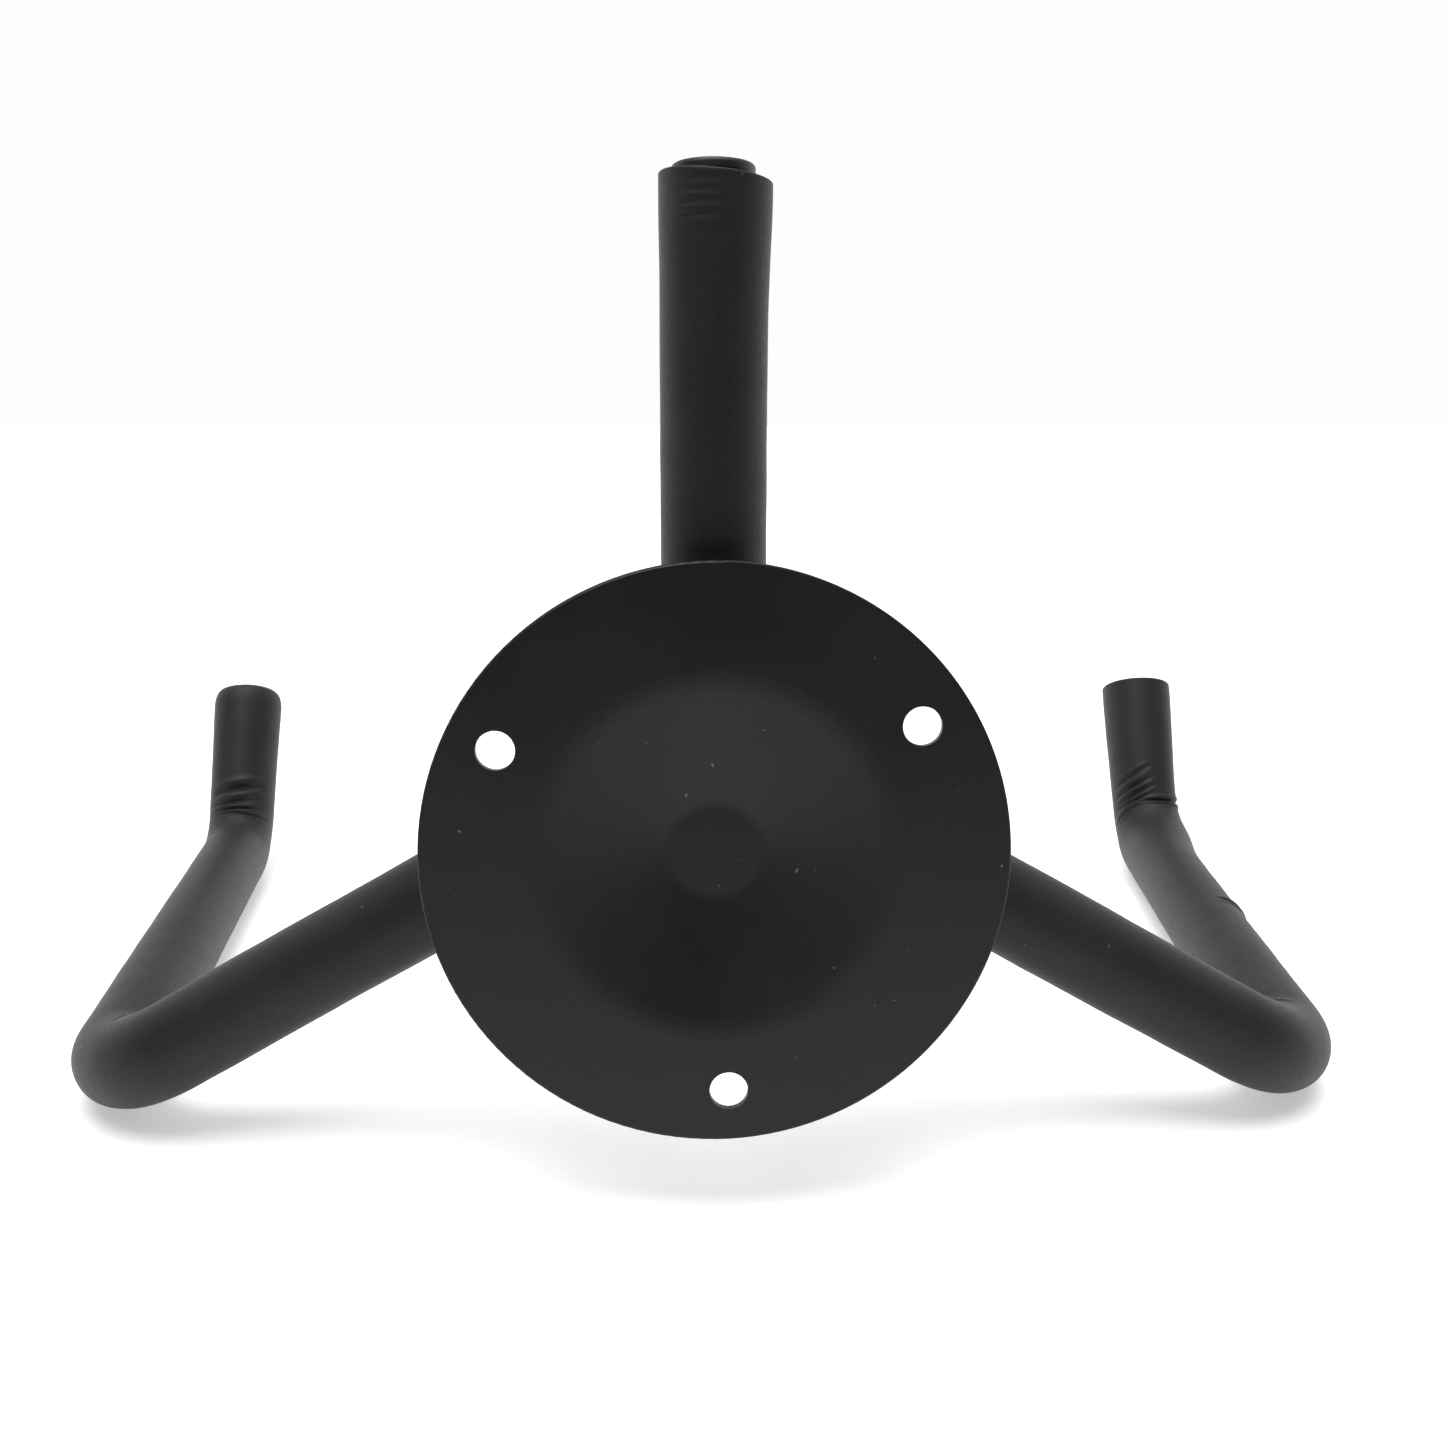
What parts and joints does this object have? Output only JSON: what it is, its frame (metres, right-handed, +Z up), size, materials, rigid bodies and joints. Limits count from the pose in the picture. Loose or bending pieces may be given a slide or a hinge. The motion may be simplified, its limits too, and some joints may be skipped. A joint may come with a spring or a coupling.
{
  "type": "wall guitar hanger",
  "caption": "Round dished wall plate with a padded upright and a padded tube bent into two upturned arms that cradle a guitar's body off the wall.",
  "frame": {"origin": "centre of the circle of screw holes, on the plate's wall face", "axes": "+Z up as mounted, +Y out of the back of the plate into the wall, -Y towards the room, +X to the right as seen from the room"},
  "size_m": [0.2635, 0.1965, 0.1582],
  "materials": {
    "plate_coat": "satin",
    "tube_coat": "satin",
    "foam": "matte",
    "plug_plastic": "matte"
  },
  "bodies": {
    "root": {"wall_plate": "plate_coat", "upright_tube": "tube_coat", "cradle_bar": "tube_coat", "upright_sleeve": "foam", "arm_sleeve_left": "foam", "arm_sleeve_right": "foam", "upright_plug": "plug_plastic", "tip_plug_left": "plug_plastic", "tip_plug_right": "plug_plastic", "plate_weld_left": "tube_coat", "plate_weld_right": "tube_coat", "cross_weld_upper": "tube_coat", "cross_weld_lower": "tube_coat"}
  },
  "joints": []
}
